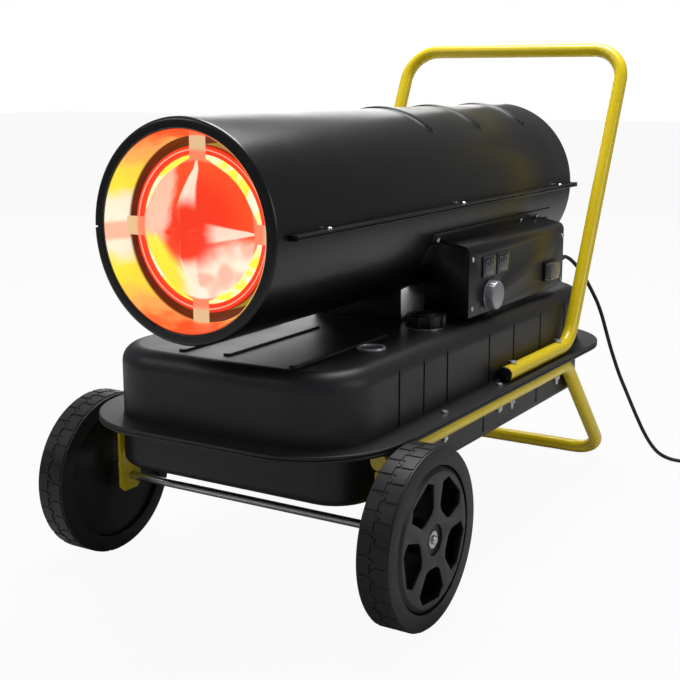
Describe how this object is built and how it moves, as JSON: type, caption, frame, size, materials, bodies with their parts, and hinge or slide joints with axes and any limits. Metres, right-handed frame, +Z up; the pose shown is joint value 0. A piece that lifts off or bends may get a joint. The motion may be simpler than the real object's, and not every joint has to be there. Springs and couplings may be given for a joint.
{
  "type": "forced air heater",
  "caption": "Round burner barrel over a fuel tank on a bent-tube frame with wheels and a push handle, with a side control box holding displays, a dial and a rocker switch.",
  "frame": {"origin": "on the floor, under the middle of the heater's length and width, the mains cord left out", "axes": "+Z up, -Y out of the warm air outlet, +X towards the control box"},
  "size_m": [0.8225, 1.0518, 0.7861],
  "materials": {
    "black_paint": "black satin powder coat",
    "liner_steel": "bare sheet, warmed to straw and orange near the flame",
    "hot_steel": "heat-tinted sheet steel, orange to brown",
    "brass": "turned brass",
    "ceramic": "glazed off-white ceramic",
    "black_plastic": "black moulded plastic, fine grain",
    "cast_aluminium": "cast and machined aluminium",
    "steel": "turned bright steel",
    "zinc": "zinc-plated steel",
    "silver_plastic": "silver plastic with a ribbed grip",
    "red_plastic": "translucent red plastic",
    "board": "green lacquered circuit board",
    "grey_paint": "dark grey satin powder coat",
    "clear_lens": "clear moulded window",
    "yellow_paint": "yellow gloss powder coat",
    "tyre_rubber": "black solid rubber tyre",
    "cord_rubber": "black rubber-sheathed mains cord"
  },
  "bodies": {
    "chassis": {"lower_shell": "black_paint", "upper_shell": "black_paint", "rear_guard": "black_paint", "front_support": "black_paint", "rear_support": "black_paint", "control_housing": "black_paint", "control_plate": "black_paint", "heat_shield": "liner_steel", "combustion_chamber": "hot_steel", "flame_deflector": "hot_steel", "burner_head": "hot_steel", "spray_nozzle": "brass", "igniter": "ceramic", "flame_sensor": "black_plastic", "pump_cover": "black_plastic", "display_module": "black_plastic", "thermostat": "black_plastic", "switch_frame": "black_plastic", "gauge_body": "black_plastic", "end_cap_right": "black_plastic", "end_cap_left": "black_plastic", "cord_gland": "black_plastic", "coil_tie": "black_plastic", "motor_body": "cast_aluminium", "pump_housing": "cast_aluminium", "axle": "steel", "motor_bracket": "zinc", "transformer": "zinc", "filler_neck": "zinc", "drain_plug": "zinc", "split_pin_right": "zinc", "split_pin_left": "zinc", "front_bolt_right": "zinc", "front_bolt_left": "zinc", "rear_bolt_right": "zinc", "rear_bolt_left": "zinc", "control_board": "board", "tank_upper": "grey_paint", "tank_lower": "grey_paint", "gauge_lens": "clear_lens", "support_frame": "yellow_paint", "handle": "yellow_paint", "axle_bracket_right": "yellow_paint", "axle_bracket_left": "yellow_paint", "power_cord": "cord_rubber", "cord_coil": "cord_rubber", "power_plug": "cord_rubber"},
    "wheel_right": {"rim_right": "black_plastic", "tyre_right": "tyre_rubber"},
    "wheel_left": {"rim_left": "black_plastic", "tyre_left": "tyre_rubber"},
    "fan_rotor": {"fan": "cast_aluminium", "motor_shaft": "steel", "pump_rotor": "black_plastic"},
    "knob": {"thermostat_knob": "silver_plastic"},
    "rocker_body": {"rocker": "red_plastic"},
    "cap": {"fuel_cap": "black_plastic"},
    "float_body": {"float_arm": "black_plastic"},
    "needle_body": {"gauge_needle": "red_plastic"}
  },
  "joints": [
    {"name": "wheel_right_spin", "type": "hinge", "parent": "chassis", "child": "wheel_right", "pos_m": [0.274, -0.384, 0.125], "axis": [1, 0, 0], "continuous": true},
    {"name": "wheel_left_spin", "type": "hinge", "parent": "chassis", "child": "wheel_left", "pos_m": [-0.274, -0.384, 0.125], "axis": [1, 0, 0], "continuous": true},
    {"name": "fan_spin", "type": "hinge", "parent": "chassis", "child": "fan_rotor", "pos_m": [0, 0.106, 0.5269], "axis": [0, 1, 0], "continuous": true},
    {"name": "knob_turn", "type": "hinge", "parent": "chassis", "child": "knob", "pos_m": [0.187, 0.014, 0.3849], "axis": [-1, 0, 0], "range_deg": [0, 270]},
    {"name": "rocker_tilt", "type": "hinge", "parent": "chassis", "child": "rocker_body", "pos_m": [0.187, 0.264, 0.3909], "axis": [0, 0, 1], "range_deg": [0, 16]},
    {"name": "cap_lift", "type": "slide", "parent": "chassis", "child": "cap", "axis": [0, 0, 1], "range_m": [0, 0.03]},
    {"name": "float_swing", "type": "hinge", "parent": "chassis", "child": "float_body", "pos_m": [0.1503, -0.289, 0.2549], "axis": [1, 0, 0], "range_deg": [0, 50]},
    {"name": "needle_swing", "type": "hinge", "parent": "chassis", "child": "needle_body", "pos_m": [0.146, -0.289, 0.3389], "axis": [0, 0, 1], "range_deg": [0, 90]}
  ],
  "couplings": [
    {"joint": "needle_swing", "follows": "float_swing", "ratio": 1.8}
  ]
}
